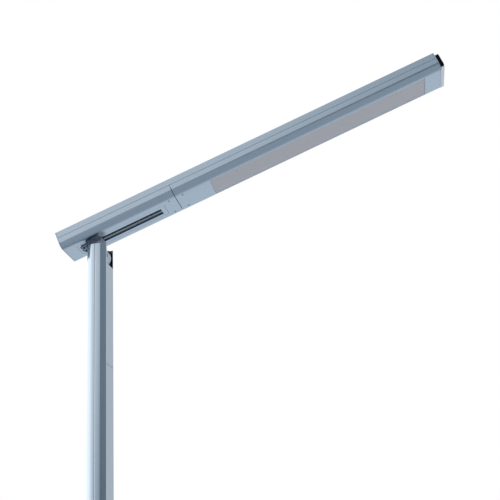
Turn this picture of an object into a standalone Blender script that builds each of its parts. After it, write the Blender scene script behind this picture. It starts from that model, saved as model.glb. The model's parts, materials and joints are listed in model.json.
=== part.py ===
"""Solar street lamp: an extruded aluminium pole with a slim solar head on a tilting, sliding bracket.

Metres, +Z up. The origin is the centre of the base plate's underside, and the head reaches out along +X.
Three bodies move on each other: the pole, the hinge bracket that tilts on a cross bolt in the pole's top,
and the head, which slides along its own rail on the bracket's clamp.
"""

from math import atan2, cos, pi, radians, sin, sqrt

import bmesh
import bpy
from mathutils import Vector

# ---------------------------------------------------------------- driving dimensions
GAP = 0.0003                      # clearance between touching pieces
POLE_TOP = 3.400                  # height of the pole's open top
TILT = radians(21.13)             # rise of the head above horizontal

POLE_HALF_DEPTH = 0.0425          # front face to centre, and centre to rounded back
POLE_HALF_FRONT = 0.0478          # half width of the flat front face
POLE_HALF_WIDTH = 0.0568          # half width at the bulge of the sides
POLE_WALL = 0.0035
POLE_FRONT_WALL = 0.0048
POLE_BACK_POWER = 2.6             # superellipse power of the rounded back
FACET_X = 0.0235                  # where the sides turn into the facets beside the front face
SIDE_GROOVE_X = -0.0005
COVER_TOP = POLE_TOP - 0.480      # upper end of the front cover strip
COVER_DEPTH = 0.003
SLOT_SIDES = (-0.0385, 0.0449)    # opening in the front face for the tilting neck
SLOT_DEPTH = 0.078

PIVOT_X = 0.0065
PIVOT_DROP = 0.040                # pivot below the pole's top
LUG_RADIUS = 0.0345
LUG_HALF_WIDTH = 0.0240
NECK_FRONT = 0.031                # neck faces, forward and back of the pivot along the head
NECK_BACK = 0.024
PIN_RADIUS = 0.008
PIN_CLEARANCE = 0.0004
WASHER = 0.0019
CHEEK_OUT = 0.0400

HEAD_WIDTH = 0.190
HEAD_HEIGHT = 0.0705
HEAD_REAR = -0.1253               # along the head, from the pole's centre line
HEAD_JOINT = 0.3616               # where the rear shell meets the lighting shell
HEAD_FRONT = 1.5147
HEAD_LIFT = 0.0264                # from the pole top's centre to the head's underside
PARTING = 0.0448                  # top edge of the lower shells
PARTING_GROOVE = 0.0007
CORNER_WIDTH = 0.029              # elliptical lower corners of the shells
CORNER_HEIGHT = 0.026
SHELL = 0.003
END_PLATE = 0.004

RAIL = (-0.074, 0.307)            # rail plate, flush in the rear shell's floor
RAIL_HALF = 0.0434
RAIL_SLOT = (-0.066, 0.288)       # its two slots, on either side of a middle bar
RAIL_SLOT_INNER = 0.0080
RAIL_SLOT_OUTER = 0.0249
WINDOW = (0.5116, 1.4434)         # light opening in the lighting shell's floor
WINDOW_HALF = 0.0648

CELL = 0.156
CELL_COUNT = 10
CELL_PITCH = 0.1590

BASE_SIZE = 0.300
BASE_THICK = 0.020
BASE_HOLE_SPACING = 0.220
BASE_HOLE_RADIUS = 0.011
SHOE_HEIGHT = 0.120
SHOE_WALL = 0.009

HALF = HEAD_WIDTH / 2
ALONG = Vector((cos(TILT), 0, sin(TILT)))
NORMAL = Vector((-sin(TILT), 0, cos(TILT)))
PIVOT = Vector((PIVOT_X, 0, POLE_TOP - PIVOT_DROP))
HEAD_ORIGIN = Vector((0, 0, POLE_TOP)) + NORMAL * HEAD_LIFT


# ---------------------------------------------------------------- scene and materials
def clear_scene():
    for item in list(bpy.data.objects):
        bpy.data.objects.remove(item, do_unlink=True)


def material(name, colour, roughness, metallic=0.0, alpha=1.0):
    made = bpy.data.materials.new(name)
    made.use_nodes = True
    shader = made.node_tree.nodes["Principled BSDF"]
    shader.inputs["Base Color"].default_value = (*colour, 1.0)
    shader.inputs["Roughness"].default_value = roughness
    shader.inputs["Metallic"].default_value = metallic
    shader.inputs["Alpha"].default_value = alpha
    return made


def make_materials():
    return {
        "anodised": material("anodised", (0.42, 0.50, 0.58), 0.32, 1.0),
        "cast": material("cast", (0.50, 0.55, 0.60), 0.45, 0.9),
        "steel": material("steel", (0.58, 0.58, 0.57), 0.30, 1.0),
        "cell": material("cell", (0.012, 0.02, 0.06), 0.25, 0.2),
        "glass": material("glass", (0.80, 0.88, 0.90), 0.05, 0.0, 0.35),
        "backsheet": material("backsheet", (0.85, 0.86, 0.86), 0.6),
        "opal": material("opal", (0.55, 0.53, 0.54), 0.35),
        "black": material("black", (0.004, 0.004, 0.005), 0.08),
        "pale": material("pale", (0.78, 0.80, 0.82), 0.30),
        "board": material("board", (0.85, 0.86, 0.85), 0.5),
        "battery": material("battery", (0.06, 0.18, 0.42), 0.45),
        "casing": material("casing", (0.05, 0.05, 0.055), 0.5),
        "fibre": material("fibre", (0.10, 0.08, 0.07), 0.8),
    }


# ---------------------------------------------------------------- building tools
def empty(name, location, rotation=(0, 0, 0)):
    made = bpy.data.objects.new(name, None)
    made.location = location
    made.rotation_euler = rotation
    bpy.context.collection.objects.link(made)
    return made


def solid(name, bm, slot, parent=None, location=(0, 0, 0), smooth=None):
    """Make an object of a bmesh; its location is in its parent's frame."""
    bmesh.ops.recalc_face_normals(bm, faces=bm.faces)
    mesh = bpy.data.meshes.new(name)
    bm.to_mesh(mesh)
    bm.free()
    if smooth is not None:
        mesh.shade_smooth()
        mesh.set_sharp_from_angle(angle=radians(smooth))
    made = bpy.data.objects.new(name, mesh)
    made.location = location
    made.parent = parent
    bpy.context.collection.objects.link(made)
    if slot is not None:
        mesh.materials.append(slot)
    return made


def loft(rings, closed=False):
    """Skin equal rings of points; the ends are capped, or joined to each other when closed."""
    bm = bmesh.new()
    made = [[bm.verts.new(point) for point in ring] for ring in rings]
    count = len(made[0])
    pairs = list(zip(made, made[1:]))
    if closed:
        pairs.append((made[-1], made[0]))
    for low, high in pairs:
        for i in range(count):
            j = (i + 1) % count
            bm.faces.new((low[i], low[j], high[j], high[i]))
    if not closed:
        bm.faces.new(reversed(made[0]))
        bm.faces.new(made[-1])
    return bm


AXES = {
    "x": lambda u, v, w: (w, u, v),
    "y": lambda u, v, w: (u, w, v),
    "z": lambda u, v, w: (u, v, w),
}


def prism(outline, axis, low, high):
    """Extrude a flat outline along one axis."""
    place = AXES[axis]
    return loft([[place(u, v, w) for u, v in outline] for w in (low, high)])


def box(x, y, z):
    return prism([(x[0], y[0]), (x[1], y[0]), (x[1], y[1]), (x[0], y[1])], "z", *z)


def circle(radius, count, centre=(0, 0), phase=0.0):
    turns = [phase + 2 * pi * i / count for i in range(count)]
    return [(centre[0] + radius * cos(t), centre[1] + radius * sin(t)) for t in turns]


def turned(steps, axis, count=20, centre=(0, 0)):
    """Turn a stepped solid from (radius, position) pairs along an axis."""
    place = AXES[axis]
    return loft([[place(u, v, w) for u, v in circle(radius, count, centre)] for radius, w in steps])


def ring(outer, inner, axis, low, high, count=24, centre=(0, 0), outer_count=None):
    """A flat ring; with outer_count sides it is a nut."""
    place = AXES[axis]
    hole = circle(inner, count, centre)
    if outer_count:
        rim = polygon_on_rays(outer, outer_count, count, centre)
    else:
        rim = circle(outer, count, centre)
    loops = [(rim, low), (rim, high), (hole, high), (hole, low)]
    return loft([[place(u, v, w) for u, v in loop] for loop, w in loops], closed=True)


def polygon_on_rays(across, sides, count, centre):
    """Points of a regular polygon, one on each of count rays, so that it can be skinned to a circle."""
    points = []
    for i in range(count):
        turn = 2 * pi * i / count
        off = (turn + pi / sides) % (2 * pi / sides) - pi / sides
        radius = across / cos(off)
        points.append((centre[0] + radius * cos(turn), centre[1] + radius * sin(turn)))
    return points


def cut(target, bm, parent=None):
    """Subtract a shape given in the target's parent frame, or in another empty's frame."""
    cutter = solid(f"{target.name}_cutter", bm, None, parent or target.parent)
    cutter.hide_render = True
    cutter.display_type = "WIRE"
    change = target.modifiers.new("cut", "BOOLEAN")
    change.operation = "DIFFERENCE"
    change.solver = "EXACT"
    change.object = cutter


# ---------------------------------------------------------------- pole
def pole_outline(inset=0.0, front_inset=None, segments=14):
    """Plan outline: flat front, two facets, slightly bulging sides and a rounded back."""
    front = POLE_HALF_DEPTH - (inset if front_inset is None else front_inset)
    back = POLE_HALF_DEPTH - inset
    wide = POLE_HALF_WIDTH - inset
    corner = POLE_HALF_FRONT - inset
    side = [(front, corner)]
    for i in range(5):
        x = FACET_X * (1 - i / 4)
        side.append((x, wide - 0.0012 * (x / FACET_X) ** 2))
    for i in range(1, segments + 1):
        turn = pi / 2 * i / segments
        x = -back * sin(turn) ** (2 / POLE_BACK_POWER)
        y = wide * max(cos(turn), 0.0) ** (2 / POLE_BACK_POWER)
        side.append((x, y))
    side[-1] = (-back, 0.0)
    return side + [(x, -y) for x, y in reversed(side[:-1])]


def make_pole(mat):
    bottom = BASE_THICK + GAP
    outer = pole_outline()
    inner = pole_outline(POLE_WALL, POLE_FRONT_WALL)
    loops = [(outer, bottom), (outer, POLE_TOP), (inner, POLE_TOP), (inner, bottom)]
    bm = loft([[(x, y, z) for x, y in loop] for loop, z in loops], closed=True)
    pole = solid("pole_profile", bm, mat["anodised"], smooth=25)

    cover_half = POLE_HALF_FRONT - 0.0012
    reach = POLE_HALF_DEPTH + 0.01
    cover_back = POLE_HALF_DEPTH - COVER_DEPTH
    cover_bottom = BASE_THICK + SHOE_HEIGHT + 0.004
    cut(pole, box((cover_back, reach), (-cover_half, cover_half), (cover_bottom, COVER_TOP)))
    slot_x = (POLE_HALF_DEPTH - POLE_FRONT_WALL - 0.004, reach)
    slot_z = (POLE_TOP - SLOT_DEPTH, POLE_TOP + 0.01)
    cut(pole, box(slot_x, SLOT_SIDES, slot_z))
    for side in (-1, 1):
        y = sorted((side * (POLE_HALF_WIDTH - 0.0016), side * (POLE_HALF_WIDTH + 0.01)))
        groove_x = (SIDE_GROOVE_X - 0.0012, SIDE_GROOVE_X + 0.0012)
        cut(pole, box(groove_x, y, (bottom - 0.01, POLE_TOP + 0.01)))
    for z in INSERT_SCREW_Z:
        cut(pole, turned([(0.0045, -0.055), (0.0045, -0.030)], "x", 12, (0, z)))
    for side in (-1, 1):
        low, high = sorted((side * 0.045, side * 0.075))
        cut(pole, turned([(0.0055, low), (0.0055, high)], "y", 12, (SHOE_SCREW_X, SHOE_SCREW_Z)))

    strip = box((cover_back + GAP, POLE_HALF_DEPTH), (-cover_half + GAP, cover_half - GAP),
                (cover_bottom + GAP, COVER_TOP - GAP))
    solid("pole_front_cover", strip, mat["anodised"])


INSERT_SCREW_Z = (POLE_TOP - 0.098, POLE_TOP - 0.122)
INSERT_BOTTOM = POLE_TOP - 0.134
INSERT_FLOOR = POLE_TOP - 0.086
INSERT_TOP = POLE_TOP - 0.006
SHOE_SCREW_X = -0.004
SHOE_SCREW_Z = BASE_THICK + 0.075


def make_insert(mat):
    """Cast fork in the pole's open top; the hinge bolt crosses its two cheeks."""
    inner = LUG_HALF_WIDTH + WASHER + 2 * GAP
    section = [(-CHEEK_OUT, INSERT_BOTTOM), (CHEEK_OUT, INSERT_BOTTOM), (CHEEK_OUT, INSERT_TOP),
               (inner, INSERT_TOP), (inner, INSERT_FLOOR), (-inner, INSERT_FLOOR),
               (-inner, INSERT_TOP), (-CHEEK_OUT, INSERT_TOP)]
    fork = solid("pole_head_insert", prism(section, "x", -0.030, 0.0335), mat["cast"])
    bore = PIN_RADIUS + PIN_CLEARANCE
    cut(fork, turned([(bore, -0.06), (bore, 0.06)], "y", 24, (PIVOT.x, PIVOT.z)))
    for z in INSERT_SCREW_Z:
        cut(fork, turned([(0.0045, -0.040), (0.0045, -0.010)], "x", 12, (0, z)))
    for number, z in enumerate(INSERT_SCREW_Z, 1):
        steps = [(0.0070, -0.0465), (0.0078, -0.0455), (0.0078, -0.0430), (0.0040, -0.0430), (0.0040, -0.0125)]
        solid(f"insert_screw_{number}", turned(steps, "x", 16, (0, z)), mat["steel"], smooth=40)


def make_hinge_bolt(mat):
    centre = (PIVOT.x, PIVOT.z)
    head = CHEEK_OUT + GAP
    place = AXES["y"]
    hexagon = polygon_on_rays(0.012, 6, 24, centre)
    shank = circle(PIN_RADIUS, 24, centre)
    loops = [(hexagon, -head - 0.007), (hexagon, -head), (shank, -head), (shank, head + 0.0095)]
    bm = loft([[place(u, v, w) for u, v in loop] for loop, w in loops])
    solid("hinge_bolt", bm, mat["steel"], smooth=40)
    bm = ring(0.012, PIN_RADIUS + GAP, "y", head, head + 0.008, 24, centre, 6)
    solid("hinge_nut", bm, mat["steel"], smooth=40)


def make_base(mat):
    half = BASE_SIZE / 2
    round_r = 0.018
    outline = []
    for quarter, (sx, sy) in enumerate(((1, 1), (-1, 1), (-1, -1), (1, -1))):
        for i in range(5):
            turn = pi / 2 * (quarter + i / 4)
            outline.append((sx * (half - round_r) + round_r * cos(turn), sy * (half - round_r) + round_r * sin(turn)))
    plate = solid("base_plate", prism(outline, "z", 0.0, BASE_THICK), mat["cast"])
    offset = BASE_HOLE_SPACING / 2
    for sx in (-1, 1):
        for sy in (-1, 1):
            hole = turned([(BASE_HOLE_RADIUS, -0.01), (BASE_HOLE_RADIUS, BASE_THICK + 0.01)], "z", 24,
                          (sx * offset, sy * offset))
            cut(plate, hole)

    low, high = BASE_THICK + GAP, BASE_THICK + SHOE_HEIGHT
    inner = pole_outline(-0.0006)
    wide = pole_outline(-SHOE_WALL - 0.006)
    slim = pole_outline(-SHOE_WALL)
    loops = [(wide, low), (wide, low + 0.012), (slim, low + 0.022), (slim, high), (inner, high), (inner, low)]
    bm = loft([[(x, y, z) for x, y in loop] for loop, z in loops], closed=True)
    shoe = solid("base_shoe", bm, mat["cast"], smooth=25)
    face = POLE_HALF_WIDTH + SHOE_WALL
    for number, side in enumerate((-1, 1), 1):
        span = sorted((side * 0.045, side * 0.085))
        cut(shoe, turned([(0.0055, span[0]), (0.0055, span[1])], "y", 12, (SHOE_SCREW_X, SHOE_SCREW_Z)))
        steps = [(0.0050, side * 0.0480), (0.0050, side * (face + GAP)), (0.0088, side * (face + GAP)),
                 (0.0088, side * (face + 0.0045)), (0.0075, side * (face + 0.0060))]
        bm = turned(steps, "y", 16, (SHOE_SCREW_X, SHOE_SCREW_Z))
        solid(f"shoe_screw_{number}", bm, mat["steel"], smooth=40)


# ---------------------------------------------------------------- hinge bracket and clamp
UNDERSIDE = HEAD_LIFT - NORMAL.dot(Vector((PIVOT_X, 0, -PIVOT_DROP)))    # its distance from the pivot
FOOT_TOP = UNDERSIDE - GAP
FOOT_BOTTOM = FOOT_TOP - 0.0050
FOOT_ENDS = (-0.052, 0.038)       # along the head, from the pivot
FOOT_HALF = 0.0300
NUT_INNER = 0.0050                # slide nuts, above the slots of the rail
NUT_OUTER = 0.0290
NUT_THICK = 0.0060
RAIL_PLATE = 0.0035
CLAMP_SCREWS = (-0.0445, -0.0310)
CLAMP_SCREW_Y = (RAIL_SLOT_INNER + RAIL_SLOT_OUTER) / 2
CLAMP_SCREW_RADIUS = 0.0030


def bracket_outline():
    """Side view of the lug and its neck, square to the head: along the head, and away from the pivot."""
    start = atan2(sqrt(LUG_RADIUS ** 2 - NECK_BACK ** 2), -NECK_BACK)
    end = 2 * pi + atan2(sqrt(LUG_RADIUS ** 2 - NECK_FRONT ** 2), NECK_FRONT)
    steps = 28
    turns = [start + (end - start) * i / steps for i in range(steps + 1)]
    outline = [(LUG_RADIUS * cos(t), LUG_RADIUS * sin(t)) for t in turns]
    top = FOOT_BOTTOM + 0.001
    return outline + [(NECK_FRONT, top), (-NECK_BACK, top)]


def make_bracket(mat, hinge):
    """The bracket is modelled square to the head, in the tilted frame at the pivot."""
    bm = prism(bracket_outline(), "y", -LUG_HALF_WIDTH, LUG_HALF_WIDTH)
    bracket = solid("hinge_bracket", bm, mat["cast"], hinge, smooth=25)
    foot = solid("hinge_foot_guide", box(FOOT_ENDS, (-FOOT_HALF, FOOT_HALF), (FOOT_BOTTOM, FOOT_TOP)), None, hinge)
    foot.hide_render = True
    foot.display_type = "WIRE"
    join = bracket.modifiers.new("foot", "BOOLEAN")
    join.operation = "UNION"
    join.solver = "EXACT"
    join.object = foot
    bore = PIN_RADIUS + PIN_CLEARANCE
    cut(bracket, turned([(bore, -0.05), (bore, 0.05)], "y", 24))
    for number, side in enumerate((-1, 1), 1):
        span = sorted((side * (LUG_HALF_WIDTH + GAP), side * (LUG_HALF_WIDTH + GAP + WASHER)))
        bm = ring(0.024, bore, "y", *span)
        solid(f"friction_washer_{number}", bm, mat["fibre"], hinge, smooth=40)

    nut_low = UNDERSIDE + RAIL_PLATE + GAP
    for name, side in (("slide_nut_near", -1), ("slide_nut_far", 1)):
        y = sorted((side * NUT_INNER, side * NUT_OUTER))
        nut = solid(name, box(FOOT_ENDS, y, (nut_low, nut_low + NUT_THICK)), mat["steel"], hinge)
        for along in CLAMP_SCREWS:
            span = [(CLAMP_SCREW_RADIUS + GAP, nut_low - 0.01), (CLAMP_SCREW_RADIUS + GAP, nut_low + 0.01)]
            cut(nut, turned(span, "z", 12, (along, side * CLAMP_SCREW_Y)))
    centres = [(along, side * CLAMP_SCREW_Y) for side in (-1, 1) for along in CLAMP_SCREWS]
    head = FOOT_BOTTOM - GAP
    hole = CLAMP_SCREW_RADIUS + GAP
    for number, centre in enumerate(centres, 1):
        cut(bracket, turned([(hole, FOOT_BOTTOM - 0.004), (hole, FOOT_TOP + 0.004)], "z", 12, centre))
        steps = [(0.0046, head - 0.0030), (0.0055, head - 0.0020), (0.0055, head), (CLAMP_SCREW_RADIUS, head),
                 (CLAMP_SCREW_RADIUS, nut_low + NUT_THICK + 0.0015)]
        solid(f"clamp_screw_{number}", turned(steps, "z", 16, centre), mat["steel"], hinge, smooth=40)


# ---------------------------------------------------------------- head
def shell_outline():
    """Section of the lower shells: upright sides, elliptical corners and a flat floor."""
    steps = 8
    turns = [pi / 2 * i / steps for i in range(steps + 1)]

    def corner(inset):
        wide, tall = CORNER_WIDTH - inset, CORNER_HEIGHT - inset
        return [(HALF - CORNER_WIDTH + wide * cos(t), CORNER_HEIGHT - tall * sin(t)) for t in turns]

    outer = [(HALF, PARTING)] + corner(0.0)
    inner = [(HALF - SHELL, PARTING)] + corner(SHELL)
    outer += [(-y, n) for y, n in reversed(outer)]
    inner += [(-y, n) for y, n in reversed(inner)]
    return outer + inner[::-1]


def full_outline(inset=0.0):
    """Closed outline of the whole head, for its end plates."""
    lower = shell_outline()
    lower = lower[: len(lower) // 2]
    lower = lower[1:-1]
    top = HEAD_HEIGHT - inset
    outline = [(HALF, top - 0.0015), (HALF - 0.0015, top)]
    outline += [(-HALF + 0.0015, top), (-HALF, top - 0.0015)]
    return outline + lower[::-1]


TONGUE = 0.036                    # lower edge of the top profile's inner tongues
WEB = (HEAD_HEIGHT - 0.0065, HEAD_HEIGHT - 0.0045)     # web that carries the solar laminate
LIP = HALF - 0.004                # inner face of the lips beside the glass


def make_top_profile(mat, head):
    inner = HALF - 2 * SHELL - GAP
    step = HALF - SHELL - GAP
    low = PARTING + PARTING_GROOVE
    right = [(inner, WEB[0]), (inner, TONGUE), (step, TONGUE), (step, low), (HALF, low),
             (HALF, HEAD_HEIGHT - 0.0015), (HALF - 0.0015, HEAD_HEIGHT), (LIP, HEAD_HEIGHT), (LIP, WEB[1])]
    section = right + [(-y, n) for y, n in reversed(right)]
    bm = prism(section, "x", HEAD_REAR + END_PLATE + GAP, HEAD_FRONT - END_PLATE - GAP)
    profile = solid("head_top_profile", bm, mat["anodised"], head)
    cut(profile, box((-0.046, -0.014), (-0.012, 0.012), (WEB[0] - 0.004, WEB[1] + 0.004)))


def make_solar(mat, head):
    rear, front = HEAD_REAR + END_PLATE + 0.001, HEAD_FRONT - END_PLATE - 0.001
    half = LIP - 0.0005
    solid("solar_backsheet", box((rear, front), (-half, half), (WEB[1] + GAP, WEB[1] + 0.0008)),
          mat["backsheet"], head)
    middle = (rear + front) / 2
    edge, cropped = CELL / 2, CELL / 2 - 0.012
    corners = [(edge, cropped), (cropped, edge), (-cropped, edge), (-edge, cropped)]
    outline = corners + [(-x, -y) for x, y in corners]
    for number in range(CELL_COUNT):
        centre = middle + (number - (CELL_COUNT - 1) / 2) * CELL_PITCH
        bm = prism([(x + centre, y) for x, y in outline], "z", WEB[1] + 0.0011, WEB[1] + 0.0014)
        solid(f"solar_cell_{number + 1:02d}", bm, mat["cell"], head)
    solid("solar_glass", box((rear, front), (-half, half), (WEB[1] + 0.0017, HEAD_HEIGHT - 0.0002)),
          mat["glass"], head)
    solid("junction_box", box((-0.085, 0.020), (-0.045, 0.045), (WEB[0] - 0.0190, WEB[0] - GAP)), mat["casing"], head)


def make_shells(mat, head):
    half_joint = 0.0005
    bm = prism(shell_outline(), "x", HEAD_REAR + END_PLATE + GAP, HEAD_JOINT - half_joint)
    rear = solid("base_housing", bm, mat["anodised"], head, smooth=30)
    cut(rear, box(RAIL, (-RAIL_HALF, RAIL_HALF), (-0.01, SHELL + 0.003)))
    bm = prism(shell_outline(), "x", HEAD_JOINT + half_joint, HEAD_FRONT - END_PLATE - GAP)
    front = solid("led_housing", bm, mat["anodised"], head, smooth=30)
    cut(front, box(WINDOW, (-WINDOW_HALF, WINDOW_HALF), (-0.01, SHELL + 0.003)))

    splice = (HEAD_JOINT - 0.040, HEAD_JOINT + 0.040)
    plate = solid("joint_splice", box(splice, (-0.068, 0.068), (SHELL + GAP, SHELL + 0.0035)), mat["cast"], head)
    number = 0
    for along in (HEAD_JOINT - 0.030, HEAD_JOINT + 0.030):
        shell = rear if along < HEAD_JOINT else front
        for y in (-0.056, 0.056):
            number += 1
            for target in (shell, plate):
                cut(target, turned([(0.0030, -0.01), (0.0030, 0.012)], "z", 12, (along, y)))
            steps = [(0.0036, -0.0016), (0.0046, -0.0010), (0.0046, -GAP), (0.0025, -GAP), (0.0025, 0.0085)]
            solid(f"joint_screw_{number}", turned(steps, "z", 16, (along, y)), mat["steel"], head, smooth=40)


RAIL_TOP = 0.0240
RAIL_WALL = 0.0040
RAIL_FLANGE_OUT = 0.056


def make_rail(mat, head):
    """Hollow rail: a slotted plate flush with the underside, side flanges on the floor, and a bridge."""
    half = RAIL_HALF - GAP
    ends = (RAIL[0] + GAP, RAIL[1] - GAP)
    flange = (SHELL + GAP, SHELL + 0.0033)
    right = [(half, 0.0), (half, flange[0]), (RAIL_FLANGE_OUT, flange[0]), (RAIL_FLANGE_OUT, flange[1]),
             (half, flange[1]), (half, RAIL_TOP)]
    section = right + [(-y, n) for y, n in reversed(right)]
    rail = solid("mounting_rail", prism(section, "x", *ends), mat["anodised"], head)
    inside = half - RAIL_WALL
    cut(rail, box((ends[0] - 0.01, ends[1] + 0.01), (-inside, inside), (RAIL_PLATE, RAIL_TOP - RAIL_WALL)))
    for side in (-1, 1):
        y = sorted((side * RAIL_SLOT_INNER, side * RAIL_SLOT_OUTER))
        cut(rail, box(RAIL_SLOT, y, (-0.01, RAIL_PLATE + 0.002)))


def make_light(mat, head):
    inset = GAP
    half = WINDOW_HALF - inset
    ledge = 0.004
    low, step, high = 0.0002, SHELL + GAP, SHELL + 0.0033

    def loop(grow, n):
        x0, x1 = WINDOW[0] + inset - grow, WINDOW[1] - inset + grow
        y = half + grow
        return [(x0, -y, n), (x1, -y, n), (x1, y, n), (x0, y, n)]

    bm = loft([loop(0, low), loop(0, step), loop(ledge, step), loop(ledge, high)])
    solid("led_window", bm, mat["opal"], head)
    outer = loop(ledge, 0)
    frame_low, frame_high = high + GAP, high + 0.0022
    inner = loop(-0.004, 0)
    loops = [(outer, frame_low), (outer, frame_high), (inner, frame_high), (inner, frame_low)]
    bm = loft([[(x, y, n) for x, y, _ in points] for points, n in loops], closed=True)
    solid("window_gasket", bm, mat["fibre"], head)

    board = (WINDOW[0] + 0.012, WINDOW[1] - 0.012)
    solid("led_board", box(board, (-0.050, 0.050), (0.0235, 0.0251)), mat["board"], head)
    solid("heat_spreader", box((board[0] - 0.05, board[1] + 0.02), (-0.080, 0.080), (0.0254, 0.0290)),
          mat["cast"], head)
    length = (board[1] - board[0] - 0.030) / 2
    for number in range(2):
        start = board[0] + 0.010 + number * (length + 0.010)
        solid(f"lens_strip_{number + 1}", box((start, start + length), (-0.030, 0.030), (0.0170, 0.0232)),
              mat["pale"], head)
    for number in range(2):
        start = 0.52 + number * 0.46
        solid(f"battery_pack_{number + 1}", box((start, start + 0.44), (-0.075, 0.075), (0.0293, 0.0575)),
              mat["battery"], head)
    solid("charge_controller", box((0.060, 0.190), (-0.045, 0.045), (RAIL_TOP + GAP, 0.0500)),
          mat["casing"], head)
    solid("led_driver", box((0.205, 0.300), (-0.035, 0.035), (RAIL_TOP + GAP, 0.0480)),
          mat["casing"], head)


def make_ends(mat, head):
    rear = solid("rear_end_cap", prism(full_outline(), "x", HEAD_REAR, HEAD_REAR + END_PLATE),
                 mat["anodised"], head)
    for number, y in enumerate((-0.060, 0.060), 1):
        steps = [(0.0036, HEAD_REAR - 0.0022), (0.0046, HEAD_REAR - 0.0014), (0.0046, HEAD_REAR - GAP),
                 (0.0025, HEAD_REAR - GAP), (0.0025, HEAD_REAR + 0.010)]
        centre = (y, 0.0300)
        cut(rear, turned([(0.0030, HEAD_REAR - 0.01), (0.0030, HEAD_REAR + 0.01)], "x", 12, centre))
        solid(f"rear_cap_screw_{number}", turned(steps, "x", 16, centre), mat["steel"], head, smooth=40)
    solid("front_end_plate", prism(full_outline(), "x", HEAD_FRONT - END_PLATE, HEAD_FRONT),
          mat["anodised"], head)
    start, end = HEAD_FRONT + GAP, HEAD_FRONT + 0.0155
    half, low, high, nose = 0.0915, 0.0066, 0.0598, 0.002
    loops = [(start, 0.0), (end - nose, 0.0), (end, nose)]
    bm = loft([[(s, -half + t, low + 0.006), (s, -half + 0.008, low), (s, half - 0.008, low),
                (s, half - t, low + 0.006), (s, half - t, high - t), (s, -half + t, high - t)]
               for s, t in loops])
    solid("front_end_cap", bm, mat["black"], head)
    solid("front_lower_cap", box((start, end - 0.001), (-0.0835, 0.0800), (0.0012, low - GAP)), mat["pale"], head)


# ---------------------------------------------------------------- assembly
def main():
    clear_scene()
    mat = make_materials()
    make_base(mat)
    make_pole(mat)
    make_insert(mat)
    make_hinge_bolt(mat)
    hinge = empty("tilt_axis", PIVOT, (0, -TILT, 0))
    make_bracket(mat, hinge)
    head = empty("head_frame", HEAD_ORIGIN, (0, -TILT, 0))
    make_top_profile(mat, head)
    make_solar(mat, head)
    make_shells(mat, head)
    make_rail(mat, head)
    make_light(mat, head)
    make_ends(mat, head)


main()
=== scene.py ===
"""Looks of the solar street lamp: detailed pieces, procedural finishes, studio and camera."""

import json
from math import cos, pi, radians, sin, tan

import bmesh
import bpy
from mathutils import Matrix, Vector


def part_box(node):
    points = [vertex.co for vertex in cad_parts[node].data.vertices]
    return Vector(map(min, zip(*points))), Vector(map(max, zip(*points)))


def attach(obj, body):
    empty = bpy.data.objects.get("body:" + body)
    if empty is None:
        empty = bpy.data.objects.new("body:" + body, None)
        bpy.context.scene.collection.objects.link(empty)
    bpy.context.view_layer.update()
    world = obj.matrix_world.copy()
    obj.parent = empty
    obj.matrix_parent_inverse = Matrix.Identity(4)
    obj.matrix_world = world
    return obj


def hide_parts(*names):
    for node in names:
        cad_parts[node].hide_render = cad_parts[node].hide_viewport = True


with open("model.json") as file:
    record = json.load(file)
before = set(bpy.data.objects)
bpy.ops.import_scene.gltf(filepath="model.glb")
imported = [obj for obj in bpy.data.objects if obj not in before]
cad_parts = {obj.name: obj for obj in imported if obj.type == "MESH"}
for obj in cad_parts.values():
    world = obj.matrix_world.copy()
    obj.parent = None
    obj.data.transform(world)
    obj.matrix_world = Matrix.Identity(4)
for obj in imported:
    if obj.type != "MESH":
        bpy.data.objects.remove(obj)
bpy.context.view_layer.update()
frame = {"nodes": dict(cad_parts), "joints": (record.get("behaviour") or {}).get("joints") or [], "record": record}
NODES = frame["nodes"]
BODY_OF = {node: body for body, members in frame["record"]["behaviour"]["bodies"].items() for node in members}
SCENE = bpy.context.scene
GAP = 0.0003                      # clearance between neighbouring pieces
PAST = 0.01                       # how far a cutter reaches past the surface that it opens

# ---------------------------------------------------------------- frames of the two straight parts
JOINTS = {joint["name"]: joint for joint in frame["joints"]}
PIVOT = Vector(JOINTS["head_tilt"]["pos_m"])
ALONG = Vector(JOINTS["head_slide"]["axis"]).normalized()
ACROSS = Vector((0, 1, 0))
NORMAL = ALONG.cross(ACROSS)
WORLD = Matrix.Identity(4)


def tilted_frame(origin):
    """Frame of the head: x along it, y across it, z away from its underside."""
    made = Matrix((ALONG, ACROSS, NORMAL)).transposed().to_4x4()
    made.translation = origin
    return made


def span(node, matrix):
    """Lowest and highest coordinate of a CAD node along each axis of a frame."""
    inverse = matrix.inverted()
    points = [inverse @ vertex.co for vertex in NODES[node].data.vertices]
    return [(min(p[i] for p in points), max(p[i] for p in points)) for i in range(3)]


FLOOR_LEVEL = span("base_housing", tilted_frame(PIVOT))[2][0]
HEAD = tilted_frame(PIVOT + NORMAL * FLOOR_LEVEL)

# ---------------------------------------------------------------- camera
LENS = 72.63
PITCH, YAW, ROLL = radians(19.3463), radians(-8.1405), radians(-2.877)
POLE_LOW, POLE_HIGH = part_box("pole_profile")
EYE = Vector((1.1241, -3.6424, POLE_HIGH.z - 1.3618))


def make_camera():
    ahead = Vector((sin(YAW) * cos(PITCH), cos(YAW) * cos(PITCH), sin(PITCH)))
    level = Vector((cos(YAW), -sin(YAW), 0))
    rise = level.cross(ahead)
    right = level * cos(ROLL) + rise * sin(ROLL)
    up = rise * cos(ROLL) - level * sin(ROLL)
    data = bpy.data.cameras.new("camera")
    data.lens = LENS
    data.sensor_width = 36
    data.clip_end = 200
    camera = bpy.data.objects.new("camera", data)
    camera.matrix_world = Matrix((right, up, -ahead)).transposed().to_4x4()
    camera.location = EYE
    SCENE.collection.objects.link(camera)
    SCENE.camera = camera


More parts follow.
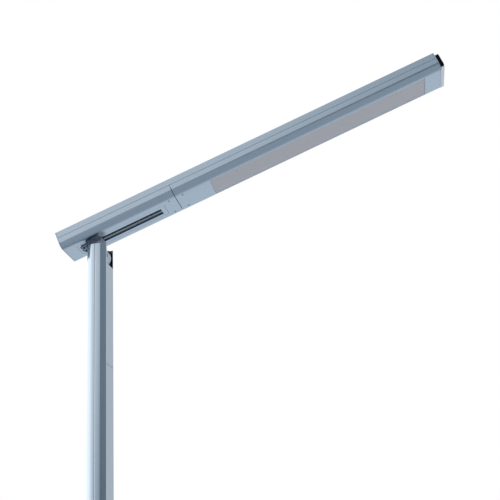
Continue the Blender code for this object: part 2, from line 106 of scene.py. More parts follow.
# ---------------------------------------------------------------- mesh tools
def signed_area(points):
    return sum(a[0] * b[1] - b[0] * a[1] for a, b in zip(points, points[1:] + points[:1])) / 2


def rounded(points, radius, steps=3, least=radians(12)):
    """Round the corners of a closed outline wherever it turns sharply."""
    made = []
    for i, point in enumerate(points):
        here = Vector(point)
        before = Vector(points[i - 1]) - here
        after = Vector(points[(i + 1) % len(points)]) - here
        turn = pi - before.angle(after)
        if turn < least:
            made.append(tuple(here))
            continue
        reach = min(radius * tan(turn / 2), 0.42 * before.length, 0.42 * after.length)
        start = here + before.normalized() * reach
        end = here + after.normalized() * reach
        for k in range(steps + 1):
            t = k / steps
            made.append(tuple(start * (1 - t) ** 2 + here * (2 * t * (1 - t)) + end * t ** 2))
    return made


def inset(points, depth):
    """Move a closed outline inwards by a small depth."""
    turn = 1 if signed_area(points) > 0 else -1
    made = []
    for i, point in enumerate(points):
        here = Vector(point)
        first = (here - Vector(points[i - 1])).normalized()
        second = (Vector(points[(i + 1) % len(points)]) - here).normalized()
        a, b = Vector((-first.y, first.x)) * turn, Vector((-second.y, second.x)) * turn
        made.append(tuple(here + (a + b) * (depth / max(1 + a.dot(b), 0.3))))
    return made


PLACE = {
    "x": lambda u, v, w: (w, u, v),
    "y": lambda u, v, w: (u, w, v),
    "z": lambda u, v, w: (u, v, w),
}


def loft(rings, closed=False):
    bm = bmesh.new()
    made = [[bm.verts.new(point) for point in ring] for ring in rings]
    pairs = list(zip(made, made[1:])) + ([(made[-1], made[0])] if closed else [])
    count = len(made[0])
    for low, high in pairs:
        for i in range(count):
            j = (i + 1) % count
            bm.faces.new((low[i], low[j], high[j], high[i]))
    if not closed:
        bm.faces.new(reversed(made[0]))
        bm.faces.new(made[-1])
    return bm


def extruded(outline, axis, low, high, edge=0.0004, steps=2):
    """Prism of an outline with rounded end edges and a supporting loop beside each of them."""
    place = PLACE[axis]
    turns = [pi / 2 * k / steps for k in range(steps + 1)]
    ends = [(edge * (1 - sin(t)), edge * (1 - cos(t))) for t in turns]
    loops = [(depth, low + rise) for depth, rise in ends]
    if high - low > 12 * edge:
        loops += [(0.0, low + 4 * edge), (0.0, high - 4 * edge)]
    loops += [(depth, high - rise) for depth, rise in reversed(ends)]
    return loft([[place(u, v, w) for u, v in inset(outline, depth)] for depth, w in loops])


def block(x, y, z):
    return loft([[(x[0], y[0], w), (x[1], y[0], w), (x[1], y[1], w), (x[0], y[1], w)] for w in z])


def rectangle(u, v):
    return [(u[0], v[0]), (u[1], v[0]), (u[1], v[1]), (u[0], v[1])]


def circle(radius, count, centre=(0, 0)):
    return [(centre[0] + radius * cos(2 * pi * i / count), centre[1] + radius * sin(2 * pi * i / count))
            for i in range(count)]


def hexagon(across, count, centre):
    """Hexagon with one point on each of count rays."""
    made = []
    for i in range(count):
        turn = 2 * pi * i / count
        off = (turn + pi / 6) % (pi / 3) - pi / 6
        made.append((centre[0] + across * cos(turn) / cos(off), centre[1] + across * sin(turn) / cos(off)))
    return made


def joined(*parts):
    """One bmesh of several."""
    whole = bmesh.new()
    for part in parts:
        mesh = bpy.data.meshes.new("part")
        part.to_mesh(mesh)
        part.free()
        whole.from_mesh(mesh)
        bpy.data.meshes.remove(mesh)
    return whole


def loose_object(name, bm, matrix=WORLD):
    bmesh.ops.recalc_face_normals(bm, faces=bm.faces)
    mesh = bpy.data.meshes.new(name)
    bm.to_mesh(mesh)
    bm.free()
    made = bpy.data.objects.new(name, mesh)
    made.matrix_world = matrix
    SCENE.collection.objects.link(made)
    return made


def carve(made, *shapes):
    """Subtract shapes given in the object's own frame, and keep the result as its mesh."""
    cutters = []
    for bm in shapes:
        cutter = loose_object("cutter", bm, made.matrix_world.copy())
        change = made.modifiers.new("cut", "BOOLEAN")
        change.operation = "DIFFERENCE"
        change.solver = "EXACT"
        change.object = cutter
        cutters.append(cutter)
    bpy.context.view_layer.update()
    graph = bpy.context.evaluated_depsgraph_get()
    mesh = bpy.data.meshes.new_from_object(made.evaluated_get(graph))
    made.modifiers.clear()
    made.data = mesh
    for cutter in cutters:
        bpy.data.objects.remove(cutter, do_unlink=True)
    return made


def finish_piece(made, nodes, materials, bevel=0.0, segments=2, smooth=30):
    """Shade, bevel and ride a piece, and hide the CAD nodes it stands for."""
    mesh = made.data
    for material in materials if isinstance(materials, (list, tuple)) else [materials]:
        mesh.materials.append(material)
    mesh.shade_smooth()
    if bevel:
        edge = made.modifiers.new("edge", "BEVEL")
        edge.width = bevel
        edge.segments = segments
        edge.limit_method = "ANGLE"
        edge.angle_limit = radians(32)
        edge.use_clamp_overlap = True
    else:
        mesh.set_sharp_from_angle(angle=radians(smooth))
    weigh = made.modifiers.new("weigh", "WEIGHTED_NORMAL")
    weigh.mode = "FACE_AREA_WITH_ANGLE"
    weigh.weight = 100
    weigh.keep_sharp = not bevel
    nodes = [nodes] if isinstance(nodes, str) else nodes
    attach(made, BODY_OF[nodes[0]])
    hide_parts(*nodes)
    return made


def refined(node, name, material, bevel, matrix=WORLD, segments=2):
    """The CAD solid again as one clean mesh with rounded edges, in a frame of its own."""
    bm = bmesh.new()
    bm.from_mesh(NODES[node].data)
    bmesh.ops.remove_doubles(bm, verts=bm.verts, dist=1e-5)
    bmesh.ops.dissolve_limit(bm, angle_limit=radians(1), verts=bm.verts, edges=bm.edges, delimit=set())
    bmesh.ops.transform(bm, matrix=matrix.inverted(), verts=bm.verts)
    return finish_piece(loose_object(name, bm, matrix), node, material, bevel, segments)


# ---------------------------------------------------------------- materials
class Finish:
    """A Principled material with helpers for its procedural parts."""

    def __init__(self, name, colour, roughness, metallic=0.0, **sockets):
        self.material = bpy.data.materials.new(name)
        self.material.use_nodes = True
        self.tree = self.material.node_tree
        self.shader = self.tree.nodes["Principled BSDF"]
        self.colour = colour
        self.shader.inputs["Base Color"].default_value = (*colour, 1)
        self.shader.inputs["Roughness"].default_value = roughness
        self.shader.inputs["Metallic"].default_value = metallic
        for key, value in sockets.items():
            self.shader.inputs[key.replace("_", " ")].default_value = value
        self.where = self.tree.nodes.new("ShaderNodeTexCoord").outputs["Object"]

    def link(self, start, end):
        self.tree.links.new(start, end)

    def node(self, kind, **settings):
        made = self.tree.nodes.new(kind)
        for key, value in settings.items():
            setattr(made, key, value)
        return made

    def scaled(self, scale):
        made = self.node("ShaderNodeMapping")
        made.inputs["Scale"].default_value = scale
        self.link(self.where, made.inputs["Vector"])
        return made.outputs["Vector"]

    def noise(self, scale, detail=3.0, rough=0.55):
        made = self.node("ShaderNodeTexNoise")
        made.inputs["Scale"].default_value = 1.0
        made.inputs["Detail"].default_value = detail
        made.inputs["Roughness"].default_value = rough
        self.link(self.scaled(scale), made.inputs["Vector"])
        return made.outputs["Fac"]

    def ranged(self, value, low, high, start=0.3, end=0.7):
        made = self.node("ShaderNodeMapRange")
        made.inputs["From Min"].default_value = start
        made.inputs["From Max"].default_value = end
        made.inputs["To Min"].default_value = low
        made.inputs["To Max"].default_value = high
        self.link(value, made.inputs["Value"])
        return made.outputs["Result"]

    def math(self, operation, a, b):
        made = self.node("ShaderNodeMath", operation=operation)
        for socket, value in zip(made.inputs, (a, b)):
            if isinstance(value, (int, float)):
                socket.default_value = value
            else:
                self.link(value, socket)
        return made.outputs["Value"]

    def weighed(self, first, share, second, rest):
        """Sum of two values with their shares."""
        return self.math("ADD", self.math("MULTIPLY", first, share), self.math("MULTIPLY", second, rest))

    def blend(self, factor, first, second):
        made = self.node("ShaderNodeMix", data_type="RGBA")
        if isinstance(factor, (int, float)):
            made.inputs["Factor"].default_value = factor
        else:
            self.link(factor, made.inputs["Factor"])
        for socket, value in ((made.inputs[6], first), (made.inputs[7], second)):
            if isinstance(value, tuple):
                socket.default_value = (*value, 1)
            else:
                self.link(value, socket)
        return made.outputs[2]

    def tinted(self, factor, spread):
        """Vary the base colour between darker and lighter by the spread."""
        low = tuple(c * (1 - spread) for c in self.colour)
        high = tuple(min(c * (1 + spread), 1) for c in self.colour)
        mixed = self.blend(factor, low, high)
        self.link(mixed, self.shader.inputs["Base Color"])
        return mixed

    def roughened(self, value, low, high):
        self.link(self.ranged(value, low, high), self.shader.inputs["Roughness"])

    def bumped(self, height, distance, strength=1.0):
        made = self.node("ShaderNodeBump")
        made.inputs["Distance"].default_value = distance
        made.inputs["Strength"].default_value = strength
        self.link(height, made.inputs["Height"])
        self.link(made.outputs["Normal"], self.shader.inputs["Normal"])


def extrusion_finish(name, long_axis, colour, roughness):
    """Satin anodised aluminium with fine die lines along the extrusion."""
    made = Finish(name, colour, roughness, 1.0)
    fine, broad = [900.0] * 3, [26.0] * 3
    fine[long_axis], broad[long_axis] = 1.6, 1.1
    lines = made.noise(fine, 4.0, 0.6)
    streaks = made.noise(broad, 3.0)
    cloud = made.noise((7.0, 7.0, 7.0), 4.0)
    made.tinted(made.weighed(lines, 0.2, streaks, 0.8), 0.035)
    made.roughened(made.weighed(cloud, 0.6, lines, 0.4), roughness - 0.035, roughness + 0.045)
    made.bumped(lines, 0.00002, 0.15)
    return made.material


def cast_finish(name, colour, roughness=0.5, metallic=0.85):
    """Die-cast metal with a fine powder texture."""
    made = Finish(name, colour, roughness, metallic)
    pores = made.noise((1400, 1400, 1400), 2.0)
    cloud = made.noise((22, 22, 22), 4.0)
    made.tinted(cloud, 0.07)
    made.roughened(cloud, roughness - 0.06, roughness + 0.08)
    made.bumped(pores, 0.00008, 0.5)
    return made.material


def steel_finish(name, colour, roughness):
    made = Finish(name, colour, roughness, 1.0)
    rings = made.noise((2600, 2600, 320), 3.0)
    made.tinted(rings, 0.06)
    made.roughened(rings, roughness - 0.06, roughness + 0.07)
    made.bumped(rings, 0.00002, 0.5)
    return made.material


def cell_finish():
    """Monocrystalline silicon: blue-black with fine printed fingers."""
    made = Finish("cell", (0.008, 0.014, 0.042), 0.28, 0.0, Specular_IOR_Level=0.15)
    shade = made.noise((30, 30, 1), 3.0)
    base = made.tinted(shade, 0.30)
    fingers = made.node("ShaderNodeTexWave", wave_type="BANDS", bands_direction="Y", wave_profile="SIN")
    fingers.inputs["Scale"].default_value = 160.0
    made.link(made.where, fingers.inputs["Vector"])
    thin = made.ranged(fingers.outputs["Fac"], 0.0, 1.0, 0.975, 0.998)
    made.link(made.blend(thin, base, (0.09, 0.11, 0.15)), made.shader.inputs["Base Color"])
    made.roughened(shade, 0.22, 0.36)
    return made.material


def opal_finish():
    """Opal diffuser with a fine prismatic back."""
    made = Finish("opal", (0.490, 0.470, 0.500), 0.34, 0.0, Coat_Weight=0.35, Coat_Roughness=0.2,
                  Subsurface_Weight=0.15, Subsurface_Scale=0.01)
    made.shader.inputs["Subsurface Radius"].default_value = (1.0, 0.95, 0.9)
    cloud = made.noise((5, 26, 5), 3.0)
    prism = made.node("ShaderNodeTexWave", wave_type="BANDS", bands_direction="Y", wave_profile="SIN")
    prism.inputs["Scale"].default_value = 75.0
    made.link(made.where, prism.inputs["Vector"])
    made.tinted(made.weighed(cloud, 0.75, prism.outputs["Fac"], 0.25), 0.05)
    made.roughened(cloud, 0.30, 0.42)
    made.bumped(prism.outputs["Fac"], 0.00004, 0.3)
    return made.material


def plastic_finish(name, colour, roughness, grain=0.00003, **sockets):
    made = Finish(name, colour, roughness, 0.0, **sockets)
    skin = made.noise((2200, 2200, 2200), 2.0)
    cloud = made.noise((14, 14, 14), 3.0)
    made.tinted(cloud, 0.10)
    made.roughened(cloud, max(roughness - 0.04, 0.02), roughness + 0.05)
    made.bumped(skin, grain, 0.5)
    return made.material


def board_finish():
    """White circuit board with rows of light-emitting diodes."""
    made = Finish("board", (0.80, 0.81, 0.79), 0.42)
    bricks = made.node("ShaderNodeTexBrick")
    bricks.offset = 0.0
    for key, value in (("Scale", 60.0), ("Mortar Size", 0.42), ("Brick Width", 1.0), ("Row Height", 0.9)):
        bricks.inputs[key].default_value = value
    bricks.inputs["Color1"].default_value = (0.82, 0.66, 0.12, 1)
    bricks.inputs["Color2"].default_value = (0.84, 0.70, 0.16, 1)
    bricks.inputs["Mortar"].default_value = (0.80, 0.81, 0.79, 1)
    made.link(made.where, bricks.inputs["Vector"])
    made.link(bricks.outputs["Color"], made.shader.inputs["Base Color"])
    made.roughened(made.noise((40, 40, 40)), 0.36, 0.5)
    return made.material


def glass_finish():
    """Thin clear cover, with its gloss varied by dust."""
    made = Finish("glass", (0.03, 0.04, 0.06), 0.03, 0.0, IOR=1.5, Alpha=0.12)
    made.roughened(made.noise((9, 9, 9), 5.0), 0.02, 0.06)
    return made.material


METAL = (0.425, 0.510, 0.600)
LOOK = {
    "head": extrusion_finish("anodised_head", 0, METAL, 0.27),
    # darker copy of the head's anodised finish, used as painted shade in the rail's slots
    "shade": extrusion_finish("anodised_painted_shade", 0, (0.17, 0.20, 0.23), 0.30),
    "pole": extrusion_finish("anodised_pole", 2, (0.485, 0.565, 0.65), 0.17),
    "cast": cast_finish("cast", (0.47, 0.53, 0.59), 0.36),
    # darker copy of the cast finish, used as painted shade on the bracket's foot and neck
    "cast_painted_shade": cast_finish("cast_painted_shade", (0.27, 0.32, 0.39), 0.42, 0.7),
    # dark cast finish; on the pole's inside and the head insert it stands in for shade
    "dark_cast_and_painted_shade": cast_finish("dark_cast_and_painted_shade", (0.035, 0.045, 0.055), 0.55, 0.4),
    "steel": steel_finish("steel", (0.60, 0.62, 0.64), 0.28),
    "steel_dark": steel_finish("steel_dark", (0.07, 0.09, 0.11), 0.40),
    "cell": cell_finish(),
    "ribbon": steel_finish("ribbon", (0.68, 0.69, 0.70), 0.32),
    "glass": glass_finish(),
    "backsheet": plastic_finish("backsheet", (0.80, 0.82, 0.82), 0.5),
    "opal": opal_finish(),
    "black": plastic_finish("black", (0.0015, 0.0015, 0.002), 0.12, 0.00001, Specular_IOR_Level=0.12),
    "pale": plastic_finish("pale", (0.80, 0.82, 0.86), 0.30, Coat_Weight=0.5, Coat_Roughness=0.1),
    "board": board_finish(),
    "battery": plastic_finish("battery", (0.02, 0.10, 0.34), 0.35),
    "casing": plastic_finish("casing", (0.03, 0.03, 0.034), 0.5, 0.00006),
    "fibre": plastic_finish("fibre", (0.06, 0.05, 0.045), 0.8, 0.0001),
}

# ---------------------------------------------------------------- pole
FACET_X = 0.0205
GROOVE_X = -0.0005
BULGE = 0.0012
FRONT_CORNER = 0.0478
BACK_POWER = 2.6
POLE_WALL, FRONT_WALL = 0.0035, 0.0048
SLOT_NEAR, SLOT_FAR, SLOT_DEPTH = 0.0385, 0.0449, 0.078
SIDE_GROOVE = 0.0008
GROOVE_TOP, GROOVE_FLOOR = 0.0017, 0.0005      # half widths of the groove at the surface and at its floor
COVER_SEAM = 0.0008               # beside and above the strip in the front face
CORNER_RADIUS, INNER_RADIUS = 0.0016, 0.0015


def pole_outline(depth=0.0, front_depth=None, groove=0.0):
    """Plan of the pole: flat front, two facets, bulging sides with a groove, and a rounded back."""
    half = (POLE_HIGH.x - POLE_LOW.x) / 2
    front = half - (depth if front_depth is None else front_depth)
    back, wide, corner = half - depth, POLE_HIGH.y - depth, FRONT_CORNER - depth
    side = [(front, corner)]
    for i in range(9):
        x = FACET_X * (1 - i / 8)
        side.append((x, wide - BULGE * (x / FACET_X) ** 2))
    if groove:
        floor = wide - groove
        side[-1] = (GROOVE_X + GROOVE_TOP, wide)
        side += [(GROOVE_X + GROOVE_FLOOR, floor), (GROOVE_X - GROOVE_FLOOR, floor),
                 (GROOVE_X - GROOVE_TOP, wide)]
    for i in range(3 if groove else 1, 41):
        turn = pi / 2 * i / 40
        side.append((-back * sin(turn) ** (2 / BACK_POWER), wide * max(cos(turn), 0.0) ** (2 / BACK_POWER)))
    side[-1] = (-back, 0.0)
    return side + [(x, -y) for x, y in reversed(side[:-1])]


def make_pole():
    """Tube with painted shade on its inside, its front strip, the castings and the hinge bolt."""
    bottom, top = POLE_LOW.z, POLE_HIGH.z
    outer = rounded(pole_outline(groove=SIDE_GROOVE), CORNER_RADIUS)
    inner = rounded(pole_outline(POLE_WALL, FRONT_WALL), INNER_RADIUS)
    tube = loose_object("pole_tube", extruded(outer, "z", bottom, top, 0.0006))
    hollow = loft([[(x, y, z) for x, y in inner] for z in (bottom - PAST, top + PAST)])
    low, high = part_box("pole_front_cover")
    recess = block((low.x - GAP, high.x + PAST), (low.y - COVER_SEAM, high.y + COVER_SEAM),
                   (low.z - GAP, high.z + COVER_SEAM))
    face = POLE_HIGH.x
    slot = block((face - FRONT_WALL - 0.004, face + PAST), (-SLOT_NEAR, SLOT_FAR),
                 (top - SLOT_DEPTH, top + PAST))
    carve(tube, hollow, recess, slot)
    # a face that looks towards the pole's axis belongs to its inside and gets the dark finish as painted shade
    for polygon in tube.data.polygons:
        inwards = polygon.normal.x * polygon.center.x + polygon.normal.y * polygon.center.y
        polygon.material_index = 1 if inwards < -0.002 and polygon.center.x < high.x - 0.002 else 0
    finish_piece(tube, "pole_profile", [LOOK["pole"], LOOK["dark_cast_and_painted_shade"]], smooth=28)
    refined("pole_front_cover", "front_cover_strip", LOOK["pole"], 0.0007)
    # the insert's dark finish is partly painted shade for the slot it sits in
    refined("pole_head_insert", "head_insert_cast", LOOK["dark_cast_and_painted_shade"], 0.0006)
    refined("hinge_bolt", "hinge_bolt_turned", LOOK["steel"], 0.0005)
    refined("hinge_nut", "hinge_nut_turned", LOOK["steel"], 0.0005)
    refined("base_plate", "base_plate_cast", LOOK["cast"], 0.0014, segments=3)
    refined("base_shoe", "base_shoe_cast", LOOK["cast"], 0.0009, segments=3)


FOOT_DROP = 0.0070                # depth of the bracket's foot below the head; bracket faces above it get painted shade


def make_bracket():
    """Tilting bracket with painted shade on its foot and neck, friction discs and slide bars."""
    bracket = refined("hinge_bracket", "bracket_cast", LOOK["cast"], 0.0008, HEAD)
    bracket.data.materials.append(LOOK["cast_painted_shade"])
    # faces of the foot and neck, close under the head, get the darker finish as painted shade
    for polygon in bracket.data.polygons:
        polygon.material_index = 1 if polygon.center.z > -FOOT_DROP else 0
    for number in (1, 2):
        refined(f"friction_washer_{number}", f"friction_disc_{number}", LOOK["fibre"], 0.0003, HEAD)
    for side in ("near", "far"):
        refined(f"slide_nut_{side}", f"slide_bar_{side}", LOOK["steel_dark"], 0.0005, HEAD)


# ---------------------------------------------------------------- screws
def screw(node, name, axis, outward, matrix, height, shank, socket, material="steel"):
    """Button-head screw with a hexagon socket, in the place of its CAD solid."""
    ranges = span(node, matrix)
    order = {"x": (1, 2, 0), "y": (0, 2, 1), "z": (0, 1, 2)}[axis]
    u, v, w = (ranges[i] for i in order)
    centre = ((u[0] + u[1]) / 2, (v[0] + v[1]) / 2)
    radius = (u[1] - u[0]) / 2
    tip, crown = (w[0], w[1]) if outward > 0 else (w[1], w[0])
    seat = crown - outward * height
    count = 36
    profile = [(shank, tip), (shank, seat), (radius * 0.96, seat), (radius, seat + outward * height * 0.12),
               (radius, seat + outward * height * 0.45), (radius * 0.95, seat + outward * height * 0.74),
               (radius * 0.84, seat + outward * height * 0.93), (radius * 0.72, crown)]
    rings = [(circle(r, count, centre), at) for r, at in profile]
    rings += [(hexagon(socket * 1.04, count, centre), crown),
              (hexagon(socket, count, centre), crown - outward * 0.0002),
              (hexagon(socket, count, centre), crown - outward * height * 0.62)]
    place = PLACE[axis]
    bm = loft([[place(a, b, at) for a, b in ring] for ring, at in rings])
    finish_piece(loose_object(name, bm, matrix), node, LOOK[material], smooth=35)


def make_screws():
    """Every visible screw; the last numbers are its head's height, shank radius and socket."""
    for number in (1, 2):
        side = 1 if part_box(f"shoe_screw_{number}")[0].y > 0 else -1
        screw(f"shoe_screw_{number}", f"shoe_bolt_{number}", "y", side, WORLD, 0.0060, 0.0050, 0.0040)
        screw(f"insert_screw_{number}", f"insert_bolt_{number}", "x", -1, WORLD, 0.0035, 0.0040, 0.0032)
        screw(f"rear_cap_screw_{number}", f"rear_cap_button_{number}", "x", -1, HEAD, 0.0019, 0.0025, 0.0016)
    for number in range(1, 5):
        screw(f"joint_screw_{number}", f"joint_button_{number}", "z", -1, HEAD,
              0.0013, 0.0025, 0.0016, "head")
        screw(f"clamp_screw_{number}", f"clamp_bolt_{number}", "z", -1, HEAD,
              0.0030, 0.0030, 0.0022, "steel_dark")


# ---------------------------------------------------------------- head
REAR_SHELL = span("base_housing", HEAD)
FRONT_SHELL = span("led_housing", HEAD)
TOP_PROFILE = span("head_top_profile", HEAD)
HALF = REAR_SHELL[1][1]
PARTING = REAR_SHELL[2][1]
HEIGHT = TOP_PROFILE[2][1]
SHELL = 0.003
THROUGH_FLOOR = (-PAST, 2 * SHELL)
CORNER_WIDTH, CORNER_HEIGHT = 0.029, 0.026
WEB_DROP, WEB = 0.0065, 0.0020
LIP_WIDTH = 0.004
SHELL_EDGE, PROFILE_EDGE = 0.0006, 0.0004      # small flats beside the parting line
PARTING_SEAM = 0.0005
RAIL_HALF = 0.0434
RAIL_PLATE, RAIL_WALL = 0.0035, 0.004
FLANGE = 0.003                    # thickness of the flanges and ledges on the shells' floor
SLOT_INNER, SLOT_OUTER = 0.0080, 0.0249
SLOT_START, SLOT_STOP = 0.0077, 0.0187         # distances of the slots from the rail's ends
BAR_RECESS, BAR_INSET = 0.0008, 0.0002         # the bar between the slots is set back
WINDOW_LEDGE, WINDOW_SEAM, WINDOW_FACE = 0.004, 0.0009, 0.0002
SEAM = 0.0007                     # around the rail
JOINT_GAP = 0.0006                # taken off each shell at the joint between them


def corner(depth, steps=20):
    """Elliptical lower corner of the shells, from the side to the floor."""
    wide, tall = CORNER_WIDTH - depth, CORNER_HEIGHT - depth
    turns = [pi / 2 * i / steps for i in range(steps + 1)]
    return [(HALF - CORNER_WIDTH + wide * cos(t), CORNER_HEIGHT - tall * sin(t)) for t in turns]


def mirrored(points):
    return points + [(-y, n) for y, n in reversed(points)]


def top_edge():
    """Rounded upper edge of the head, from its side to its top."""
    reach, cut = 0.0018, 0.0005
    return [(HALF, HEIGHT - reach), (HALF - cut, HEIGHT - cut), (HALF - reach, HEIGHT)]


def make_shells():
    """Two lower shells with their openings, and the profile above them."""
    outer = mirrored([(HALF - SHELL_EDGE, PARTING), (HALF, PARTING - SHELL_EDGE)] + corner(0.0))
    inner = mirrored([(HALF - SHELL, PARTING)] + corner(SHELL))
    section = outer + inner[::-1]
    rear = extruded(section, "x", REAR_SHELL[0][0], REAR_SHELL[0][1] - JOINT_GAP)
    rear = loose_object("rear_shell", rear, HEAD)
    rail = span("mounting_rail", HEAD)[0]
    side = RAIL_HALF + 0.0002
    carve(rear, block((rail[0] - SEAM, rail[1] + SEAM), (-side, side), THROUGH_FLOOR))
    finish_piece(rear, "base_housing", LOOK["head"])
    front = extruded(section, "x", FRONT_SHELL[0][0] + JOINT_GAP, FRONT_SHELL[0][1])
    front = loose_object("front_shell", front, HEAD)
    x0, x1, half = window_opening()
    carve(front, block((x0, x1), (-half, half), THROUGH_FLOOR))
    finish_piece(front, "led_housing", LOOK["head"])

    step = HALF - SHELL - GAP
    deep = HALF - 2 * SHELL - GAP
    low = TOP_PROFILE[2][0]
    bottom = PARTING + PARTING_SEAM
    web = (HEIGHT - WEB_DROP, HEIGHT - WEB_DROP + WEB)
    right = [(deep, web[0]), (deep, low), (step, low), (step, bottom), (HALF - PROFILE_EDGE, bottom),
             (HALF, bottom + PROFILE_EDGE)]
    right += top_edge() + [(HALF - LIP_WIDTH, HEIGHT), (HALF - LIP_WIDTH, web[1])]
    section = mirrored(right)
    top = loose_object("top_shell", extruded(section, "x", *TOP_PROFILE[0]), HEAD)
    finish_piece(top, "head_top_profile", LOOK["head"])


def window_opening():
    """Opening for the light window: its ends along the head, and its half width."""
    along, across, _ = span("led_window", HEAD)
    inwards = WINDOW_LEDGE - GAP
    return along[0] + inwards, along[1] - inwards, across[1] - inwards


def make_rail():
    """Hollow rail with two slots and a bar set back between them, with painted shade on the slot walls and the
    bar.
    """
    along, across, high = span("mounting_rail", HEAD)
    half = RAIL_HALF - SEAM
    low, top = SHELL + GAP, SHELL + GAP + FLANGE
    right = [(half - PROFILE_EDGE, 0.0), (half, PROFILE_EDGE), (half, low), (across[1], low),
             (across[1], top), (half, top), (half, high[1])]
    rail = loose_object("slide_rail", extruded(mirrored(right), "x", *along, 0.0003), HEAD)
    inside = half - RAIL_WALL
    hollow = block((along[0] - PAST, along[1] + PAST), (-inside, inside), (RAIL_PLATE, high[1] - RAIL_WALL))
    start, stop = along[0] + SLOT_START, along[1] - SLOT_STOP
    slots = [block((start, stop), sorted((side * SLOT_INNER, side * SLOT_OUTER)), (-PAST, RAIL_PLATE + 0.002))
             for side in (-1, 1)]
    middle = SLOT_INNER - BAR_INSET
    bar = block((start + BAR_INSET, stop - BAR_INSET), (-middle, middle), (-PAST, BAR_RECESS))
    carve(rail, hollow, *slots, bar)
    # slot walls and the set-back bar get the darker finish as painted shade
    for polygon in rail.data.polygons:
        among_slots = abs(polygon.center.y) < SLOT_OUTER + 0.001
        recessed = BAR_RECESS / 2 < polygon.center.z < RAIL_PLATE + 0.001
        polygon.material_index = 1 if among_slots and recessed else 0
    finish_piece(rail, "mounting_rail", [LOOK["head"], LOOK["shade"]])


def make_window():
    """Opal window with a small flat at its edge, and the ledge that holds it behind the opening."""
    x0, x1, half = window_opening()
    step, top = SHELL + GAP, span("led_window", HEAD)[2][1]
    flat, ledge = 0.0004, WINDOW_LEDGE - GAP
    rings = []
    for grow, n in ((-WINDOW_SEAM - flat, WINDOW_FACE), (-WINDOW_SEAM, WINDOW_FACE + flat),
                    (-WINDOW_SEAM, step), (ledge, step), (ledge, top)):
        outline = rounded(rectangle((x0 - grow, x1 + grow), (-half - grow, half + grow)), 0.0015, 3)
        rings.append([(x, y, n) for x, y in outline])
    finish_piece(loose_object("opal_window", loft(rings), HEAD), "led_window", LOOK["opal"])


def full_outline():
    """Section of the whole head, for its end plates."""
    return mirrored(top_edge()[::-1] + corner(0.0))


def make_ends():
    """End plates, the black cap with its lower corners cut off, and the pale strip below it."""
    outline = full_outline()
    rear = extruded(outline, "x", *span("rear_end_cap", HEAD)[0], 0.0008, 3)
    finish_piece(loose_object("rear_cap", rear, HEAD), "rear_end_cap", LOOK["head"])
    front = extruded(outline, "x", *span("front_end_plate", HEAD)[0], 0.0008, 3)
    finish_piece(loose_object("front_plate", front, HEAD), "front_end_plate", LOOK["head"])
    along, across, high = span("front_end_cap", HEAD)
    wide, tall = 0.008, 0.006
    outline = [(across[1], high[1]), (across[1], high[0] + tall), (across[1] - wide, high[0]),
               (across[0] + wide, high[0]), (across[0], high[0] + tall), (across[0], high[1])]
    outline = rounded(outline, 0.003, 5)
    cap = extruded(outline, "x", along[0], along[1], 0.0018, 5)
    finish_piece(loose_object("black_cap", cap, HEAD), "front_end_cap", LOOK["black"])
    refined("front_lower_cap", "pale_strip", LOOK["pale"], 0.0008, HEAD, 3)


# ---------------------------------------------------------------- solar laminate
RIBBON_PITCH = 0.0312
RIBBON_HALF, RIBBON_REACH = 0.0006, 0.0012
CELL_COUNT = 10
CELL_CROP = 0.012                 # cut-off corners of a cell


def make_solar():
    """Ten cells, each with five ribbons, under one cover."""
    for number in range(1, CELL_COUNT + 1):
        node = f"solar_cell_{number:02d}"
        x, y, z = span(node, HEAD)
        crop = CELL_CROP
        outline = [(x[1], y[1] - crop), (x[1] - crop, y[1]), (x[0] + crop, y[1]), (x[0], y[1] - crop),
                   (x[0], y[0] + crop), (x[0] + crop, y[0]), (x[1] - crop, y[0]), (x[1], y[0] + crop)]
        wafer = extruded(rounded(outline, 0.006, 4), "z", z[0], z[1] - 0.00004, 0.00006, 1)
        ribbons = []
        for place in range(-2, 3):
            across = place * RIBBON_PITCH
            strip = rectangle((x[0] - RIBBON_REACH, x[1] + RIBBON_REACH),
                              (across - RIBBON_HALF, across + RIBBON_HALF))
            ribbons.append(extruded(strip, "z", z[1] - 0.00002, z[1] + 0.00010, 0.00004, 1))
        faces = len(wafer.faces)
        cell = loose_object(f"cell_{number:02d}", joined(wafer, *ribbons), HEAD)
        for polygon in cell.data.polygons:
            polygon.material_index = 0 if polygon.index < faces else 1
        finish_piece(cell, node, [LOOK["cell"], LOOK["ribbon"]])
    refined("solar_glass", "cover_glass", LOOK["glass"], 0.0005, HEAD)


CARRIED = {
    "solar_backsheet": "backsheet", "junction_box": "casing", "joint_splice": "dark_cast_and_painted_shade",
    "window_gasket": "fibre", "led_board": "board", "heat_spreader": "cast",
    "lens_strip_1": "pale", "lens_strip_2": "pale", "battery_pack_1": "battery", "battery_pack_2": "battery",
    "charge_controller": "casing", "led_driver": "casing",
}


def dress_nodes():
    """Finishes for the nodes that keep their own meshes."""
    for node, look in CARRIED.items():
        for slot in NODES[node].material_slots:
            slot.material = LOOK[look]


# ---------------------------------------------------------------- studio
# Parts of the surroundings that are brighter or darker than the rest: azimuth (0 is the front, 90 the
# right), elevation, angle of the even middle, angle where it ends, and the amount that it adds.
LOBES = (
    (-100, 15, 12, 78, 0.68),
    (38, 14, 12, 50, -0.62),
    (163, 8, 8, 42, -0.24),
    (0, -14, 8, 34, -0.45),
)
BASE_LIGHT = 0.95
SHADE_TINT = (0.76, 0.89, 1.0)    # the darker surroundings are bluer
TINT_RANGE = (0.30, 1.0)
FLOOR_RADIUS = 60
FLOOR_FADE = (0.0, 6.2)           # behind the lamp, from the floor's grey to the far tone
FLOOR_GREY = (0.430, 0.470, 0.505)
FLOOR_FAR = (0.78, 0.83, 0.88)


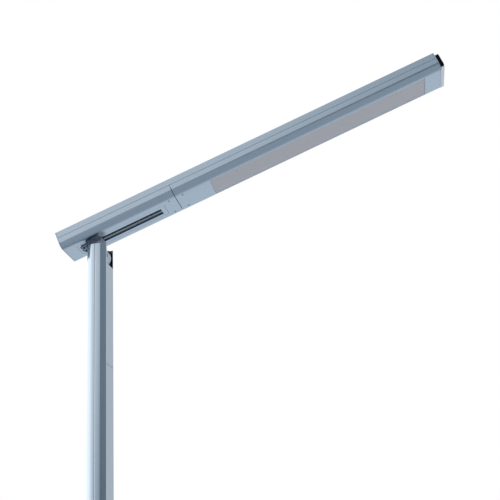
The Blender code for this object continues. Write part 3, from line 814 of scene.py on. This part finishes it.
def make_world():
    """Even pale surroundings with the brighter and darker parts in them, plain white to the camera."""
    world = bpy.data.worlds.new("studio")
    SCENE.world = world
    world.use_nodes = True
    tree = world.node_tree
    tree.nodes.clear()
    where = tree.nodes.new("ShaderNodeTexCoord").outputs["Generated"]

    def number(operation, a, b):
        made = tree.nodes.new("ShaderNodeMath")
        made.operation = operation
        for socket, item in zip(made.inputs, (a, b)):
            if isinstance(item, (int, float)):
                socket.default_value = item
            else:
                tree.links.new(item, socket)
        return made.outputs["Value"]

    total = BASE_LIGHT
    for azimuth, elevation, inner, outer, amount in LOBES:
        a, e = radians(azimuth), radians(elevation)
        towards = (sin(a) * cos(e), -cos(a) * cos(e), sin(e))
        dot = tree.nodes.new("ShaderNodeVectorMath")
        dot.operation = "DOT_PRODUCT"
        tree.links.new(where, dot.inputs[0])
        dot.inputs[1].default_value = towards
        fade = tree.nodes.new("ShaderNodeMapRange")
        fade.interpolation_type = "SMOOTHSTEP"
        fade.inputs["From Min"].default_value = cos(radians(outer))
        fade.inputs["From Max"].default_value = cos(radians(inner))
        tree.links.new(dot.outputs["Value"], fade.inputs["Value"])
        total = number("ADD", total, number("MULTIPLY", fade.outputs["Result"], amount))
    seen = tree.nodes.new("ShaderNodeLightPath").outputs["Is Camera Ray"]
    mix = tree.nodes.new("ShaderNodeMix")
    tree.links.new(seen, mix.inputs["Factor"])
    tree.links.new(total, mix.inputs["A"])
    mix.inputs["B"].default_value = 1.0
    back = tree.nodes.new("ShaderNodeBackground")
    hue = tree.nodes.new("ShaderNodeMapRange")
    hue.inputs["From Min"].default_value, hue.inputs["From Max"].default_value = TINT_RANGE
    tree.links.new(mix.outputs["Result"], hue.inputs["Value"])
    tint = tree.nodes.new("ShaderNodeMix")
    tint.data_type = "RGBA"
    tree.links.new(hue.outputs["Result"], tint.inputs["Factor"])
    tint.inputs[6].default_value = (*SHADE_TINT, 1)
    tint.inputs[7].default_value = (1, 1, 1, 1)
    tree.links.new(tint.outputs[2], back.inputs["Color"])
    tree.links.new(mix.outputs["Result"], back.inputs["Strength"])
    out = tree.nodes.new("ShaderNodeOutputWorld")
    tree.links.new(back.outputs["Background"], out.inputs["Surface"])


def make_floor():
    """Pale grey floor that fades into the white surroundings behind the lamp."""
    bm = loft([[(x, y, z) for x, y in circle(FLOOR_RADIUS, 96)] for z in (-0.05, -0.001)])
    floor = loose_object("floor", bm)
    made = Finish("floor", FLOOR_GREY, 0.9)
    cloud = made.noise((1.5, 1.5, 1.5), 3.0)
    made.tinted(cloud, 0.02)
    far = made.node("ShaderNodeSeparateXYZ")
    made.link(made.where, far.inputs["Vector"])
    fade = made.node("ShaderNodeMapRange", interpolation_type="SMOOTHSTEP")
    fade.inputs["From Min"].default_value = FLOOR_FADE[0]
    fade.inputs["From Max"].default_value = FLOOR_FADE[1]
    made.link(far.outputs["Y"], fade.inputs["Value"])
    glow = made.node("ShaderNodeEmission")
    glow.inputs["Color"].default_value = (*FLOOR_FAR, 1)
    mix = made.node("ShaderNodeMixShader")
    made.link(fade.outputs["Result"], mix.inputs["Fac"])
    made.link(made.shader.outputs["BSDF"], mix.inputs[1])
    made.link(glow.outputs["Emission"], mix.inputs[2])
    made.link(mix.outputs["Shader"], made.tree.nodes["Material Output"].inputs["Surface"])
    floor.data.materials.append(made.material)


SCENE.view_settings.view_transform = "Standard"
make_camera()
make_pole()
make_bracket()
make_screws()
make_shells()
make_rail()
make_window()
make_ends()
make_solar()
dress_nodes()
make_world()
make_floor()
